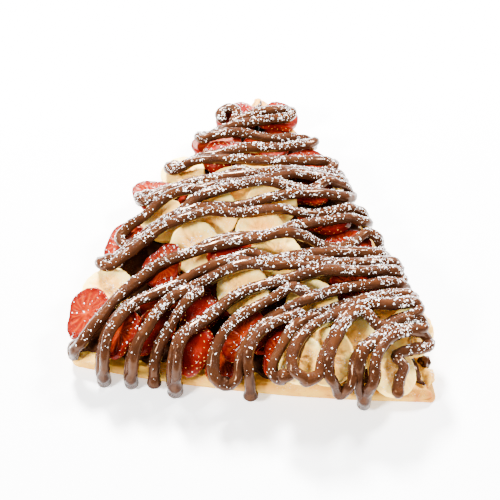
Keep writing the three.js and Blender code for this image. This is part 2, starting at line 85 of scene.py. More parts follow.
# Spots that the pan has browned: middle and radius.
BROWNED = [(87.5, -91.5, 1.7), (94.5, -89.5, 2.6), (92, -84, 1.2), (-90, -86, 1.6)]

# The base coat, how far inside the outline it ends, the marks of spreading it, and the air
# under it.
COAT_THICKNESS = 1.5
COAT_INSET = 6.5
COAT_MARKS = 0.25
GAP = 0.35

# Points round the crêpe, the coat and each piece of fruit.
CREPE_POINTS = 900
COAT_POINTS = 420
SLICE_POINTS = 88

# How far the rim of a slice is rounded over, and how thick a piece of strawberry is at least
# when it is a half and no slice.
BANANA_RIM = 1.0
STRAWBERRY_RIM = 0.8
HALF_THICKNESS = 5.8

# How far a cut face is dished in its middle.
BANANA_DISH = 0.35
STRAWBERRY_DISH = 0.5

# A seed's length, width and height, and how many go round a berry in one row.
SEED_SIZE = (0.62, 0.38, 0.22)
SEEDS_ROUND = 17

# The rope of the drizzle: its radius, the steps in which it is laid and then meshed, the points
# and the ridges round it, how steeply it climbs over rope, how much thicker a drop is and how
# long, and how long a hollow it spans.
ROPE_RADIUS = 2.8
ROPE_STEP = 1.5
ROPE_RING = 1.05
ROPE_POINTS = 20
ROPE_RIDGES = 7
ROPE_CLIMB = 0.45
BULB = 0.36
BULB_LENGTH = 3.2
BRIDGE = 9.0

# How far outside the outline the drizzle turns, on the sides and over the front, and by how much
# that varies; how far outside it the crossings start; and how far past the left corner the first
# front turn is. A negative distance is inside.
SIDE_TURN = -2.0
FRONT_TURN = 4.4
TURN_WOBBLE = 2.4
SIDE_RUN = -8.0
FRONT_RUN = -4.0
CORNER_RUN = 6.0

# How pointed a turn is: how much further in its shoulders lie, as a share of their distance from
# its outermost point.
SIDE_POINTED = 0.5
FRONT_POINTED = 0.22

# The directions of a crossing, in degrees from the right: where it sets off at the far corner
# and what that gains down to the left corner, where it sets off from the front and what that
# gains for each millimetre, and where it arrives on the right at the ends of that side and what
# that gains in its middle. SIDE_LENGTH is about the length of that side.
LEFT_SLANT = 24
LEFT_GAIN = 46
FRONT_SLANT = 72
FRONT_GAIN = 0.1
RIGHT_SLANT = 14
RIGHT_GAIN = 10
SIDE_LENGTH = 225

# Points of one crossing, and steps of the smooth curve between two points.
CROSSING_POINTS = 15
CURVE_STEPS = 24

# Where the drizzle turns back: the distance along the outline from the far corner, down each
# side, and half the distance between the two legs of the turn.
TURNS_LEFT = [
    (51, 3), (79, 3.2), (108, 3.5), (134, 4.5), (154, 3.4), (210, 4.5), (228, 1.2), (242, 1.2),
    (265, 1.4), (291, 7), (319, 5.5), (331, 7.5), (348, 6.5), (361, 4), (379, 3),
]
TURNS_RIGHT = [
    (36, 4), (58, 4), (82, 4), (92, 3), (103, 3.6), (122, 5), (141, 6), (153, 3), (162, 3),
    (170, 3), (178, 3), (186, 3), (194, 3), (202, 3.4), (210, 3.4),
]

# The curl that the drizzle starts with, how far up the left side from the first turn the first
# crossing then comes from, and how many of its points the curl takes the place of.
START_CURL = [(-30, 70), (-33, 75), (-29, 79), (-24, 78), (-23, 74)]
START_BACK = 8
START_SKIP = 4

# Short strands over the front: where one ends along the outline, the distance down the right
# side that it comes from the direction of, and its length.
DRIPS = [(254, 162, 42), (304, 184, 36)]

# Where the strands stand apart: x, y, half the length, half the width, direction in degrees.
OPENINGS = [
    (-27, 49, 20, 3.5, 25), (-43, 26, 20, 4, 28), (-2, 31, 24, 4, 22), (20, 20, 20, 4, 15),
    (-50, -2, 20, 5, 32), (-10, 7, 22, 3, 28), (-31, -19, 20, 5, 38), (2, -13, 24, 5.5, 25),
    (4, -32, 24, 4.5, 28), (-70, -19, 18, 4.5, 38), (38, -9, 26, 6.5, 14), (-48, -49, 22, 5, 42),
    (-9, -50, 24, 4, 33), (29, -49, 24, 4, 30), (-24, -66, 20, 4.5, 50), (9, -84, 24, 5, 62),
    (-58, -80, 24, 4, 60), (58, -69, 20, 6, 40), (74, -86, 14, 4, 52), (-84, -69, 20, 6, 62),
]

# Powdered sugar: how many grains, the middle and the spread of the logarithm of their size in
# millimetres, their length, width and height as shares of it, the smallest and the greatest they
# may be, and how readily they lie on each kind of piece.
SUGAR_GRAINS = 8800
GRAIN_LOG_MIDDLE = -1.5
GRAIN_LOG_SPREAD = 0.45
GRAIN_SHAPE = (1.7, 0.85, 0.7)
GRAIN_LIMITS = (0.12, 0.95)
SUGAR_SHARES = {
    "drizzle": 1.0, "banana": 1.0, "strawberry": 0.5, "coat": 0.5, "curl": 3.0, "drop": 1.0
}

# ---------------------------------------------------------------- small helpers


def smooth(t):
    """Rises from 0 to 1 with level ends as t goes from 0 to 1."""
    t = np.clip(t, 0, 1)
    return t * t * (3 - 2 * t)


def unit(v):
    """Vectors scaled to length 1."""
    return v / np.maximum(np.linalg.norm(v, axis=-1, keepdims=True), 1e-9)


def ripple(points, size, seed):
    """Smooth unevenness about 0: plane waves about `size` long, in random directions and
    phases, summed and scaled to a mean square of 1."""
    rng = np.random.default_rng(seed)
    points = np.asarray(points, float)
    waves = unit(rng.normal(size=(RIPPLE_WAVES, points.shape[-1])))
    waves *= TAU / size * rng.uniform(0.6, 1.6, (RIPPLE_WAVES, 1))
    phases = rng.uniform(0, TAU, RIPPLE_WAVES)
    return np.sin(points @ waves.T + phases).sum(-1) * math.sqrt(2 / RIPPLE_WAVES)


def ring_faces(rings, count):
    """Quads between rings of `count` points, facing out where the rings rise or close in."""
    ring = np.arange(rings - 1)[:, None] * count
    a = ring + np.arange(count)
    b = ring + (np.arange(count) + 1) % count
    return np.stack([a, b, b + count, a + count], -1).reshape(-1, 4)


def fan_faces(tip, first, count, up):
    """Triangles from a tip point to a ring, facing up or down."""
    a = first + np.arange(count)
    b = first + (np.arange(count) + 1) % count
    pair = (a, b) if up else (b, a)
    return np.stack([np.full(count, tip), *pair], -1)


def closed_faces(rings, count):
    """Faces of a body of rings, followed by one point below and one above."""
    last = rings * count
    below = fan_faces(last, 0, count, False)
    above = fan_faces(last + 1, last - count, count, True)
    return [ring_faces(rings, count), below, above]


def build_piece(name, points, faces, material, masks=None, replaced=()):
    """Makes a mesh object of points in millimetres, with a colour attribute of masks."""
    mesh = bpy.data.meshes.new(name)
    mesh.vertices.add(len(points))
    mesh.vertices.foreach_set("co", (np.asarray(points) * MM).astype(np.float32).ravel())
    loops = np.concatenate([f.ravel() for f in faces]).astype(np.int32)
    sizes = np.concatenate([np.full(len(f), f.shape[1]) for f in faces])
    mesh.loops.add(len(loops))
    mesh.loops.foreach_set("vertex_index", loops)
    mesh.polygons.add(len(sizes))
    mesh.polygons.foreach_set("loop_start", (np.cumsum(sizes) - sizes).astype(np.int32))
    mesh.update(calc_edges=True)
    mesh.polygons.foreach_set("use_smooth", np.ones(len(sizes), bool))
    if masks is not None:
        layer = mesh.attributes.new("masks", "FLOAT_COLOR", "POINT")
        values = np.ones((len(points), 4), np.float32)
        values[:, : masks.shape[1]] = masks
        layer.data.foreach_set("color", values.ravel())
    mesh.materials.append(material)
    piece = bpy.data.objects.new(name, mesh)
    bpy.context.scene.collection.objects.link(piece)
    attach(piece, "root")
    if replaced:
        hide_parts(*replaced)
    return piece


# ---------------------------------------------------------------- shader helpers


def feed(tree, socket, value):
    """Links a socket to another one, or sets it to a plain value."""
    if isinstance(value, bpy.types.NodeSocket):
        tree.links.new(value, socket)
    else:
        socket.default_value = value


def add(tree, kind, inputs=None, **settings):
    """Adds a shader node with its settings, and feeds its inputs."""
    node = tree.nodes.new("ShaderNode" + kind)
    for key, value in settings.items():
        setattr(node, key, value)
    for key, value in (inputs or {}).items():
        feed(tree, node.inputs[key], value)
    return node


def colour(red, green, blue):
    """A colour given as it looks on a screen, 0 to 255, as the linear values shaders use."""
    c = np.array([red, green, blue]) / 255
    linear = np.where(c <= 0.04045, c / 12.92, ((c + 0.055) / 1.055) ** 2.4)
    return (*linear.tolist(), 1.0)


def blend(tree, factor, a, b):
    """Mixes two colours, each a socket or a value: a where the factor is 0, b where it is 1."""
    node = add(tree, "Mix", {"Factor": factor}, data_type="RGBA")
    feed(tree, node.inputs[6], a)
    feed(tree, node.inputs[7], b)
    return node.outputs[2]


def between(tree, value, low, high):
    """0 below low, 1 above high, and a smooth rise between them."""
    inputs = {"Value": value, "From Min": low, "From Max": high}
    return add(tree, "MapRange", inputs, interpolation_type="SMOOTHSTEP").outputs["Result"]


def maths(tree, operation, a, b):
    """One arithmetic step on two values."""
    return add(tree, "Math", {0: a, 1: b}, operation=operation).outputs[0]


def times(tree, a, b):
    """Two values multiplied."""
    return maths(tree, "MULTIPLY", a, b)


def new_group(name, inputs, outputs):
    """An empty shader node group with named sockets, and its two end nodes."""
    group = bpy.data.node_groups.new(name, "ShaderNodeTree")
    for label, kind, value in inputs:
        socket = group.interface.new_socket(label, in_out="INPUT", socket_type=kind)
        socket.default_value = value
    for label, kind in outputs:
        group.interface.new_socket(label, in_out="OUTPUT", socket_type=kind)
    start = group.nodes.new("NodeGroupInput")
    end = group.nodes.new("NodeGroupOutput")
    return group, start, end


def spots_group():
    """Two colours mixed in soft, uneven spots about 1/scale metres wide."""
    group, start, end = new_group(
        "spots",
        [
            ("Ground", "NodeSocketColor", (1, 1, 1, 1)),
            ("Spot", "NodeSocketColor", (0, 0, 0, 1)),
            ("Scale", "NodeSocketFloat", 200.0),
            ("Low", "NodeSocketFloat", 0.45),
            ("High", "NodeSocketFloat", 0.65),
        ],
        [("Colour", "NodeSocketColor"), ("Spots", "NodeSocketFloat")],
    )
    place = add(group, "TexCoord").outputs["Object"]
    noise = add(group, "TexNoise", {"Vector": place, "Scale": start.outputs["Scale"], "Detail": 4.0})
    mask = between(group, noise.outputs["Fac"], start.outputs["Low"], start.outputs["High"])
    mixed = blend(group, mask, start.outputs["Ground"], start.outputs["Spot"])
    group.links.new(mixed, end.inputs["Colour"])
    group.links.new(mask, end.inputs["Spots"])
    return group


def dusting_group():
    """Fine sugar dust: it whitens and dulls patches of whatever faces up."""
    group, start, end = new_group(
        "dusting",
        [
            ("Colour", "NodeSocketColor", (1, 1, 1, 1)),
            ("Roughness", "NodeSocketFloat", 0.4),
            ("Amount", "NodeSocketFloat", 0.5),
        ],
        [("Colour", "NodeSocketColor"), ("Roughness", "NodeSocketFloat")],
    )
    place = add(group, "TexCoord").outputs["Object"]
    facing = add(group, "SeparateXYZ", {0: add(group, "NewGeometry").outputs["Normal"]})
    upward = between(group, facing.outputs["Z"], 0.1, 0.9)
    fine = add(group, "TexNoise", {"Vector": place, "Scale": 1500.0, "Detail": 2.0})
    broad = add(group, "TexNoise", {"Vector": place, "Scale": 90.0, "Detail": 2.0})
    specks = between(group, fine.outputs["Fac"], 0.56, 0.66)
    patches = between(group, broad.outputs["Fac"], 0.38, 0.62)
    mask = times(group, times(group, specks, patches), upward)
    mask = times(group, mask, start.outputs["Amount"])
    white = blend(group, mask, start.outputs["Colour"], colour(252, 248, 240))
    matt = {"Value": mask, "To Min": start.outputs["Roughness"], "To Max": 0.85}
    rough = add(group, "MapRange", matt)
    group.links.new(white, end.inputs["Colour"])
    group.links.new(rough.outputs["Result"], end.inputs["Roughness"])
    return group


SPOTS = spots_group()
DUSTING = dusting_group()


def use(tree, group, **inputs):
    """Places a node group in a material with its own values."""
    node = tree.nodes.new("ShaderNodeGroup")
    node.node_tree = group
    for key, value in inputs.items():
        feed(tree, node.inputs[key], value)
    return node


def new_material(name, **constants):
    """A material with one Principled shader and constants on the shader's own sockets, whose
    names are given with _ for each space."""
    material = bpy.data.materials.new(name)
    material.use_nodes = True
    tree = material.node_tree
    shader = tree.nodes["Principled BSDF"]
    for key, value in constants.items():
        shader.inputs[key.replace("_", " ")].default_value = value
    return material, tree, shader


def masks_of(tree):
    """The three masks that a piece carries at its points."""
    read = add(tree, "Attribute", attribute_name="masks", attribute_type="GEOMETRY")
    return add(tree, "SeparateColor", {0: read.outputs["Color"]}).outputs


def spotted(tree, ground, spot, scale, low, high):
    """A ground colour with soft spots of another, about 1/scale metres wide, where noise is
    above `low` and fully above `high`."""
    placed = use(tree, SPOTS, Ground=ground, Spot=spot, Scale=scale, Low=low, High=high)
    return placed.outputs["Colour"]


def dress(tree, shader, surface, roughness, dust):
    """Gives a shader its colour and roughness, under a share of sugar dust."""
    dusted = use(tree, DUSTING, Colour=surface, Roughness=roughness, Amount=dust)
    tree.links.new(dusted.outputs["Colour"], shader.inputs["Base Color"])
    tree.links.new(dusted.outputs["Roughness"], shader.inputs["Roughness"])


def roughen(tree, shader, height, strength, depth):
    """Gives a shader the fine relief of a height, `depth` metres deep."""
    relief = add(tree, "Bump", {"Height": height, "Strength": strength, "Distance": depth})
    tree.links.new(relief.outputs["Normal"], shader.inputs["Normal"])


def noise(tree, scale, detail=3.0):
    """Plain noise in the piece's own place."""
    place = add(tree, "TexCoord").outputs["Object"]
    return add(tree, "TexNoise", {"Vector": place, "Scale": scale, "Detail": detail}).outputs["Fac"]


# ---------------------------------------------------------------- materials


def crepe_material():
    """Pale cooked batter, golden near folds and edges, with small browned spots and pores, and
    painted shade in the grooves of its sides and under the flap.
    """
    material, tree, shader = new_material(
        "cooked_crepe",
        Specular_IOR_Level=0.15,
        Subsurface_Weight=0.12,
        Subsurface_Radius=(0.9, 0.45, 0.2),
        Subsurface_Scale=0.0015,
    )
    rim, groove, browning = masks_of(tree)[:3]
    batter = spotted(tree, colour(228, 180, 58), colour(208, 142, 36), 70.0, 0.4, 0.68)
    pores = spotted(tree, batter, colour(160, 98, 40), 260.0, 0.6, 0.74)
    golden = blend(tree, times(tree, rim, 0.45), pores, colour(176, 112, 28))
    toasted = blend(tree, times(tree, browning, 0.8), golden, colour(176, 96, 26))
    # Painted shade: the grooves between the layers and the gap under the flap are darkened to deep
    # brown.
    groove_shaded = blend(tree, groove, toasted, colour(84, 44, 16))
    dress(tree, shader, groove_shaded, 0.62, 0.25)
    height = maths(tree, "ADD", noise(tree, 900.0), times(tree, noise(tree, 220.0), 1.5))
    roughen(tree, shader, height, 0.5, 0.0004)
    return material


def chocolate_material(name, dust):
    """Hazelnut chocolate: deep brown, softly glossy, with slow lighter streaks."""
    material, tree, shader = new_material(
        name, Specular_IOR_Level=0.15, Specular_Tint=colour(255, 196, 150)
    )
    streaks = spotted(tree, colour(43, 21, 10), colour(53, 27, 12), 160.0, 0.4, 0.65)
    dress(tree, shader, streaks, 0.13, dust)
    roughen(tree, shader, noise(tree, 500.0, 2.0), 0.15, 0.0003)
    return material


def strawberry_material():
    """Red skin; on the cut face orange-red flesh with a lighter heart, pale fibres and specks,
    and a dark rim."""
    material, tree, shader = new_material(
        "strawberry_flesh",
        Specular_IOR_Level=0.06,
        Specular_Tint=colour(255, 200, 170),
        Subsurface_Weight=0.06,
        Subsurface_Radius=(1.2, 0.25, 0.12),
        Subsurface_Scale=0.002,
    )
    cut, away, fibres = masks_of(tree)[:3]
    wander = times(tree, maths(tree, "SUBTRACT", noise(tree, 420.0), 0.5), 0.7)
    uneven = maths(tree, "ADD", away, wander)
    heart = blend(tree, between(tree, uneven, 0.05, 0.42), colour(126, 34, 0), colour(100, 12, 0))
    flesh = blend(tree, between(tree, uneven, 0.72, 1.0), heart, colour(76, 2, 0))
    rayed = blend(tree, times(tree, fibres, 0.3), flesh, colour(166, 72, 10))
    specked = spotted(tree, rayed, colour(184, 92, 30), 1100.0, 0.66, 0.78)
    skin = spotted(tree, colour(86, 3, 0), colour(118, 16, 0), 120.0, 0.4, 0.7)
    dress(tree, shader, blend(tree, cut, skin, specked), 0.3, 0.03)
    roughen(tree, shader, noise(tree, 600.0), 0.5, 0.0005)
    return material


def banana_material():
    """Cream flesh, deeper and slightly orange towards the seeded heart, pale at the rim."""
    material, tree, shader = new_material(
        "banana_flesh",
        Specular_IOR_Level=0.12,
        Subsurface_Weight=0.2,
        Subsurface_Radius=(1.0, 0.7, 0.35),
        Subsurface_Scale=0.002,
    )
    face, away, heart = masks_of(tree)[:3]
    flesh = spotted(tree, colour(255, 220, 116), colour(254, 194, 84), 110.0, 0.38, 0.66)
    ring = blend(tree, between(tree, away, 0.35, 0.85), colour(248, 178, 64), flesh)
    seeded = spotted(tree, ring, colour(166, 104, 38), 500.0, 0.44, 0.6)
    middle = blend(tree, times(tree, heart, face), ring, seeded)
    dress(tree, shader, middle, 0.5, 0.45)
    roughen(tree, shader, noise(tree, 800.0), 0.4, 0.0004)
    return material


def grain_material(name, roughness, ground, spot, scale, high):
    """Fine loose grains of two near shades, with no dust of their own."""
    material, tree, shader = new_material(name, Roughness=roughness)
    shades = spotted(tree, ground, spot, scale, 0.4, high)
    tree.links.new(shades, shader.inputs["Base Color"])
    return material


CREPE = crepe_material()
COAT = chocolate_material("chocolate_coat", 0.02)
CHOCOLATE = chocolate_material("chocolate_drizzle", 0.025)
STRAWBERRY = strawberry_material()
BANANA = banana_material()
SUGAR = grain_material("sugar", 0.8, colour(255, 254, 252), colour(248, 244, 238), 900.0, 0.7)
SEED = grain_material("berry_seed", 0.45, colour(226, 170, 70), colour(186, 120, 40), 700.0, 0.6)

# ---------------------------------------------------------------- the outline


def crepe_outline(steps=400):
    """Points of the outline seen from above, counter-clockwise from the far corner: three
    sides, each a quadratic curve bowed out by its bulge, joined by quadratic round corners.
    Also the distance along the outline at which each of the six curves ends."""
    corner = [np.array(CORNERS[name], float) for name in ("far", "left", "right")]
    cut = [CORNER_CUT[name] for name in ("far", "left", "right")]
    control = []
    for i, side in enumerate(("left", "front", "right")):
        a, b = corner[i], corner[(i + 1) % 3]
        outwards = unit(np.array([b[1] - a[1], a[0] - b[0]]))
        control.append((a + b) / 2 + outwards * 2 * BULGE[side])
    t = np.linspace(0, 1, steps)[:, None]
    curves = []
    for i in range(3):
        j = (i + 1) % 3
        start = corner[i] + unit(control[i] - corner[i]) * cut[i]
        end = corner[j] + unit(control[i] - corner[j]) * cut[j]
        onward = corner[j] + unit(control[j] - corner[j]) * cut[j]
        for a, m, b in ((start, control[i], end), (end, corner[j], onward)):
            curves.append((1 - t) ** 2 * a + 2 * t * (1 - t) * m + t**2 * b)
    ends = np.cumsum([np.linalg.norm(np.diff(c, axis=0), axis=1).sum() for c in curves])
    points = np.concatenate([c[:-1] for c in curves] + [curves[0][:1]])
    return points, ends


OUTLINE, ENDS = crepe_outline()
ALONG = np.concatenate([[0], np.cumsum(np.linalg.norm(np.diff(OUTLINE, axis=0), axis=1))])
AROUND = ALONG[-1]
FRONT_START = ENDS[1]


def outline_point(distance, outwards=0.0):
    """Points at distances along the outline, moved square to it by `outwards`."""
    distance = np.asarray(distance, float)

    def on_line(d):
        """Points on the outline itself."""
        d = np.mod(d, AROUND)
        return np.stack([np.interp(d, ALONG, OUTLINE[:, k]) for k in (0, 1)], -1)

    tangent = unit(on_line(distance + 0.05) - on_line(distance - 0.05))
    normal = np.stack([tangent[..., 1], -tangent[..., 0]], -1)
    return on_line(distance) + normal * np.asarray(outwards)[..., None]


def side_weight(distance, side):
    """1 along one side of the outline and 0 on the others, fading over 12 mm at its ends."""
    first = {"left": 0, "front": 2, "right": 4}[side]
    start = ENDS[first - 1] if first else 0
    return smooth(np.minimum(distance - start, ENDS[first] - distance) / 12 + 1)


def top_height(inwards):
    """The crêpe's top rises from its edge (0) to its middle (1) along a parabola."""
    return EDGE_HEIGHT + DOME * (1 - (1 - inwards) ** 2)


# ---------------------------------------------------------------- the crêpe


def round_lip(level):
    """How far a rounded edge is drawn in at a share of its height: 0 halfway, 1 at the ends."""
    return 1 - np.sqrt(np.clip(1 - (2 * level - 1) ** 2, 0, 1))


def wall_inset(distance, level):
    """How far the side is drawn in, and how much painted shade it gets in its grooves and under the
    flap. Front: one big fold. Left: the open ends of the layers, each rounded and ending unevenly.
    Right: a fold below, and a shorter flap on top of it. The three are mixed by their weights along
    the outline."""
    left = side_weight(distance, "left")
    right = side_weight(distance, "right")
    fold = FOLD_RADIUS * round_lip(level) ** 1.3
    layer = np.minimum(LAYERS - 1, np.floor(level * LAYERS))
    within = level * LAYERS - layer
    ruffle = LAYER_RUFFLE * ripple(np.stack([distance, layer * 40], -1), 17, 3)
    groove = round_lip(within) ** 2
    layered = LAYER_GROOVE * groove + ruffle + 0.3 * layer + 0.9
    flap = smooth((level - (FOLD_SHARE - 0.03)) / 0.05)
    in_fold = np.clip(level / FOLD_SHARE, 0, 1)
    in_flap = np.clip((level - FOLD_SHARE) / FLAP_SHARE, 0, 1)
    lower = TIER_ROUND * round_lip(in_fold) ** 2
    set_back = SHELF_DEPTH + FLAP_WAVE * ripple(distance[..., None], 28, 4)
    upper = set_back + TIER_ROUND * round_lip(in_flap) ** 2
    tiers = lower * (1 - flap) + upper * flap
    inset = fold * (1 - left) * (1 - right) + layered * left + tiers * right
    # Painted shade: darkest deep in the grooves between the left layers, and half as dark in the gap
    # under the right flap.
    under_flap = np.exp(-(((level - (FOLD_SHARE - 0.02)) / 0.03) ** 2))
    dark = groove**3 * left + 0.5 * under_flap * right
    return inset, np.clip(dark, 0, 1)


def creases(x, y):
    """Raised soft folds: each falls away from its line like exp(-(distance / width)^2)."""
    lift = np.zeros_like(x)
    for (x0, y0), (x1, y1), width, height in CREASES:
        ex, ey = x1 - x0, y1 - y0
        share = np.clip(((x - x0) * ex + (y - y0) * ey) / (ex**2 + ey**2), 0, 1)
        off = np.hypot(x - x0 - share * ex, y - y0 - share * ey)
        lift += height * np.exp(-((off / width) ** 2))
    return lift


def browned(x, y):
    """1 in the middle of each browned spot, fading like exp(-(distance / radius)^2)."""
    out = np.zeros_like(x)
    for x0, y0, radius in BROWNED:
        out = np.maximum(out, np.exp(-(((x - x0) ** 2 + (y - y0) ** 2) / radius**2)))
    return out


def crepe_piece():
    """Rings up the wall, then over the top to the middle; the wall is drawn in by wall_inset and the
    top follows the parabola with soft wrinkles and creases. Its masks are how near a point is to the
    rim, how much painted shade it gets in a groove or under the flap, and how browned it is."""
    distance = np.arange(CREPE_POINTS) / CREPE_POINTS * AROUND
    levels = np.linspace(0, 1, 46)
    d, level = np.meshgrid(distance, levels)
    inset, dark = wall_inset(d, level)
    inset[0] += 0.5
    flat = outline_point(d, -inset)
    sag = EDGE_SAG * ripple(distance[:, None], 40, 5) * levels[:, None]
    wall = np.concatenate([flat, (EDGE_HEIGHT * level + sag)[..., None]], -1)
    rim = np.clip(0.35 + 0.65 * level, 0, 1)
    percent = [1.2, 2.5, 4, 5.5, 7.5, 10, 12.5, 15, 18, 22, 27, 35, 45, 60, 80]
    d, t = np.meshgrid(distance, np.array(percent) / 100)
    edge = outline_point(d, -inset[-1] * np.clip(1 - t * 8, 0, 1) ** 2)
    flat = edge * (1 - t[..., None]) + MIDDLE * t[..., None]
    wrinkle = WRINKLE * ripple(flat, 24, 6) + FINE_WRINKLE * ripple(flat, 7, 7)
    lift = (wrinkle + creases(flat[..., 0], flat[..., 1])) * smooth(t / 0.03)
    z = top_height(t) + sag[-1] * (1 - smooth(t / 0.15)) + lift
    top = np.concatenate([flat, z[..., None]], -1)
    rings = np.concatenate([wall, top])
    points = np.concatenate([rings.reshape(-1, 3), [[*MIDDLE, 0], [*MIDDLE, top_height(1.0)]]])
    near_edge = np.concatenate([rim.ravel(), (1 - smooth(t / 0.16)).ravel(), [0, 0]])
    # The painted shade of the grooves and of the gap under the flap, on the wall only; none on the
    # top.
    deep = np.concatenate([dark.ravel(), np.zeros(t.size + 2)])
    masks = np.stack([near_edge, deep, browned(points[:, 0], points[:, 1])], -1)
    faces = closed_faces(len(rings), CREPE_POINTS)
    build_piece("folded_crepe", points, faces, CREPE, masks, ["crepe"])
    return points


def inner_edge(distance, inset):
    """The outline drawn in by an inset for each distance. Where that folds over itself inside a
    sharp corner, the points are drawn straight between the ones on either side."""
    edge = outline_point(distance, -inset)
    nearest = np.linalg.norm(edge[:, None] - OUTLINE[None, ::4], axis=2).min(1)
    kept = np.flatnonzero(nearest > 0.93 * inset)
    number = np.arange(len(edge))
    return np.stack([np.interp(number, kept, edge[kept, k], period=len(edge)) for k in (0, 1)], -1)


def base_coat_piece():
    """A thin coat that follows the crêpe's top, with a wavy edge rounded by a quarter circle,
    and with spreading marks. Its rings run out along the underside and back over the top."""
    distance = np.arange(COAT_POINTS) / COAT_POINTS * AROUND
    share = distance / AROUND
    waves = 1.8 * np.sin(share * 71) * np.cos(share * 31) + 0.5 * ripple(distance[:, None], 9, 8)
    inset = COAT_INSET - waves
    inwards = np.concatenate([np.linspace(0, 0.1, 8) ** 1.3 * 2, [0.16, 0.24, 0.34, 0.45, 0.6, 0.8]])
    t = np.repeat(inwards[:, None], COAT_POINTS, 1)
    flat = inner_edge(distance, inset) * (1 - t[..., None]) + MIDDLE * t[..., None]
    under = top_height(np.minimum(1, t + 0.1)) + GAP
    round_edge = np.sqrt(np.clip(1 - (1 - np.clip(t / 0.03, 0, 1)) ** 2, 0, 1))
    over = under + COAT_THICKNESS * round_edge + COAT_MARKS * ripple(flat, 9, 9) * round_edge
    low = np.concatenate([flat[::-1], under[::-1][..., None]], -1)
    high = np.concatenate([flat, over[..., None]], -1)
    rings = np.concatenate([low, high])
    lowest = top_height(1.0) + GAP
    tips = [[*MIDDLE, lowest], [*MIDDLE, lowest + COAT_THICKNESS]]
    points = np.concatenate([rings.reshape(-1, 3), tips])
    faces = closed_faces(len(rings), COAT_POINTS)
    build_piece("base_coat", points, faces, COAT, None, ["spread"])
    return points, faces


# ---------------------------------------------------------------- the fruit


def node_points(name):
    """The different corners of a CAD node, in millimetres."""
    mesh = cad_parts[name].data
    flat = np.empty(len(mesh.vertices) * 3, np.float32)
    mesh.vertices.foreach_get("co", flat)
    return np.unique(np.round(flat.reshape(-1, 3) / MM, 2), axis=0).astype(float)


def waves_round(angle):
    """1, and the cosine and sine of one to four times each angle, side by side."""
    terms = [np.ones_like(angle)]
    for k in range(1, 5):
        terms += [np.cos(k * angle), np.sin(k * angle)]
    return np.stack(terms, -1)


def pose_of(name):
    """How a CAD slice lies: its middle, its three axes (length, width, thickness), its outline
    as a radius fitted by waves_round, its thickness, and whether it is a half. The axes are
    those of the greatest, middle and least spread of its corners. The thickness axis points up,
    or out of the flat face of a half; the length axis points at a berry's tip."""
    berry = name.startswith("strawberry")
    points = node_points(name)
    middle = points.mean(0)
    local = points - middle
    _, axes = np.linalg.eigh(np.cov(local.T))
    length, normal = axes[:, 2], axes[:, 0]
    h = local @ normal
    half = berry and np.ptp(h) > HALF_THICKNESS
    away = (local**2).sum(1) - h**2
    wider_above = np.mean((h - h.mean()) * (away - away.mean()))
    if (wider_above if half else normal[2]) < 0:
        normal = -normal
    h = local @ normal
    width = np.cross(normal, length)
    x, y = local @ length, local @ width
    if berry and np.mean(x * y**2) > 0:
        length, width = -length, -width
        x, y = -x, -y
    thickness = np.ptp(h)
    middle = middle + normal * (h.max() + h.min()) / 2
    radius = np.hypot(x, y)
    level = (h - h.min()) / thickness
    widest = (radius > 3) & ((level > 0.6) if half else (np.abs(level - 0.5) < 0.38))
    angle = np.arctan2(y, x)[widest]
    fit = np.linalg.lstsq(waves_round(angle), radius[widest], rcond=None)[0]
    return middle, np.stack([length, width, normal]), fit, thickness, half


def fitted_radius(fit, angle):
    """The radius of a piece at an angle, as a sum of the first four waves round it."""
    return waves_round(angle) @ fit


def slice_profile(thickness, mean, soft, half, banana):
    """The rings of a piece, from the middle of its underside over the rim to the middle of its
    top: for each, the share of the outline and the share of the thickness. Both faces are flat
    and their rims follow a quarter circle of radius `soft`; a half is round below instead, with
    share = sqrt(1 - (1 - height)^2.8)."""
    face = np.array([0.12, 0.24, 0.36, 0.48, 0.6, 0.7, 0.8, 0.88])
    arc = np.linspace(0, math.pi / 2, 6)
    inner = 1 - soft / mean
    rim = inner + (1 - inner) * np.sin(arc)
    rim_height = soft * (1 - np.cos(arc)) / thickness
    if half:
        low_height = np.array([0.004, 0.03, 0.08, 0.15, 0.24, 0.34, 0.45, 0.57, 0.7, 0.83])
        low = np.sqrt(1 - (1 - low_height) ** 2.8)
    else:
        low_height = np.concatenate([np.zeros(len(face)), rim_height, [0.5]])
        low = np.concatenate([face * inner, rim * (0.98 if banana else 1.0), [1.0]])
    scale = np.concatenate([low, rim[::-1], (face * inner)[::-1]])
    height = np.concatenate([low_height, 1 - rim_height[::-1], np.ones(len(face))])
    return scale, height


def banana_heart(s, angle, phase):
    """The seeded heart of a slice: exp(-(s / 0.42)^4) at the share s of its radius, in three
    lobes."""
    lobes = 0.55 + 0.45 * np.cos(3 * angle + phase) * smooth(s / 0.3)
    return np.exp(-((s / 0.42) ** 4)) * lobes


def berry_fibres(s, angle, phase):
    """Pale fibres of a cut berry: the crests of nineteen waves round it, bent a little, between
    its heart and its skin."""
    rays = np.cos(19 * angle + 1.6 * np.sin(3 * angle + phase) + 4 * s)
    return smooth((rays - 0.2) / 0.8) * smooth((s - 0.25) / 0.2) * smooth((0.84 - s) / 0.14)


